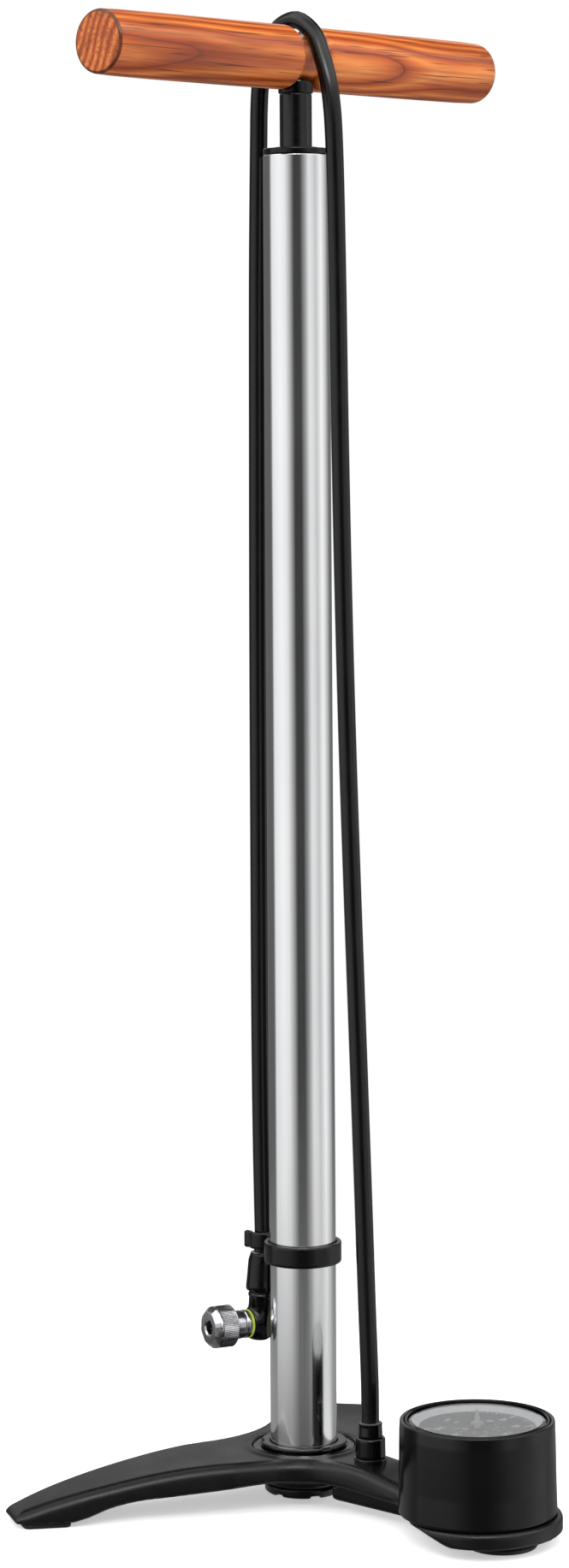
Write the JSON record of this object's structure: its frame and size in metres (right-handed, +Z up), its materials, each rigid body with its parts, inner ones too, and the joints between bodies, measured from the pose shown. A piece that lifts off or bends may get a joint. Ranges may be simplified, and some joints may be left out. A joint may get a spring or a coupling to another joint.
{
  "type": "floor bike pump",
  "caption": "Upright floor pump: polished barrel on a black three-legged base, wooden T handle on a sliding plunger, round gauge on one leg, stowed air hose with a screw-type head",
  "frame": {"origin": "on the floor, under the middle of the box round the object without its hose and pump head; the barrel stands 29.9 mm towards +Y from it", "axes": "+Z up along the barrel and the plunger's stroke, +X along the handle, -Y towards the gauge leg"},
  "size_m": [0.2664, 0.233, 0.7079],
  "materials": {
    "polished_barrel": "polished with fine lengthwise grain",
    "bright_metal": "bright machined metal",
    "brass": "plain machined",
    "black_paint": "satin black paint",
    "black_anodised": "glossy black anodised",
    "black_plastic": "satin moulded plastic",
    "black_rubber": "matte moulded rubber",
    "hose_rubber": "smooth satin rubber hose",
    "varnished_wood": "varnished hardwood with dark grain",
    "lime_plastic": "translucent yellow-green plastic",
    "gauge_glass": "clear polished lens",
    "dial_face": "grey printed dial",
    "needle_paint": "painted pointer"
  },
  "bodies": {
    "root": {"barrel_tube": "polished_barrel", "top_cap": "black_plastic", "cap_bush": "black_plastic", "rod_wiper": "black_rubber", "base_casting": "black_paint", "barrel_seat_ring": "black_plastic", "barrel_lock_ring": "black_anodised", "barrel_gasket": "black_rubber", "foot_pad_left": "black_rubber", "foot_pad_rear": "black_rubber", "foot_pad_gauge": "black_rubber", "hub_plug": "black_plastic", "check_valve_seat": "brass", "check_valve_spring": "bright_metal", "air_passage_cover": "black_plastic", "passage_screw_inner": "bright_metal", "passage_screw_outer": "bright_metal", "gauge_housing": "black_plastic", "lens_gasket": "black_rubber", "gauge_bezel": "black_anodised", "gauge_lens": "gauge_glass", "gauge_dial": "dial_face", "dial_screw_left": "bright_metal", "dial_screw_right": "bright_metal", "movement_plate": "brass", "gauge_stem": "brass", "bourdon_tube": "brass", "hose_socket": "black_anodised", "hose_socket_nut": "black_plastic", "hose_boot": "black_rubber", "hose_clip": "black_rubber", "hose_front_run": "hose_rubber", "hose_back_run": "hose_rubber", "head_ferrule": "black_plastic"},
    "plunger": {"plunger_rod": "black_anodised", "piston_head": "black_plastic", "piston_seal": "black_rubber", "piston_guide_ring": "black_plastic", "piston_screw": "bright_metal", "top_out_bumper": "black_rubber", "rod_plug": "bright_metal", "handle_ferrule": "black_anodised", "handle_bar": "varnished_wood", "handle_washer": "bright_metal", "handle_bolt": "bright_metal", "hose_arch": "hose_rubber"},
    "valve_poppet": {"check_valve_poppet": "black_rubber"},
    "sector": {"sector_gear": "brass"},
    "needle": {"gauge_needle": "needle_paint", "needle_pinion": "brass"},
    "pump_head": {"head_elbow": "black_plastic", "chuck_ring": "lime_plastic", "chuck_sleeve": "bright_metal", "chuck_gasket": "black_rubber"},
    "collar": {"chuck_collar": "bright_metal"}
  },
  "joints": [
    {"name": "plunger_stroke", "type": "slide", "parent": "root", "child": "plunger", "axis": [0, 0, 1], "range_m": [0, 0.5]},
    {"name": "valve_lift", "type": "slide", "parent": "root", "child": "valve_poppet", "axis": [0, 0, -1], "range_m": [0, 0.0015], "stiffness_N_per_m": 200, "springref_m": -0.001, "deforming": ["check_valve_spring"]},
    {"name": "sector_swing", "type": "hinge", "parent": "root", "child": "sector", "pos_m": [0, -0.08963, 0.035], "axis": [0, 0, 1], "range_deg": [0, 26], "stiffness_Nm_per_rad": 0.002},
    {"name": "needle_turn", "type": "hinge", "parent": "root", "child": "needle", "pos_m": [0, -0.07713, 0.0515], "axis": [0, 0, 1], "range_deg": [-260, 0]},
    {"name": "head_swivel", "type": "hinge", "parent": "root", "child": "pump_head", "pos_m": [0, 0.05787, 0.079], "axis": [0, -0.0645, 0.9979], "range_deg": [-90, 30]},
    {"name": "collar_slide", "type": "slide", "parent": "pump_head", "child": "collar", "axis": [-0.9511, 0.3084, 0.0199], "range_m": [0, 0.004], "stiffness_N_per_m": 500, "springref_m": -0.001}
  ],
  "couplings": [
    {"joint": "needle_turn", "follows": "sector_swing", "ratio": -10}
  ]
}
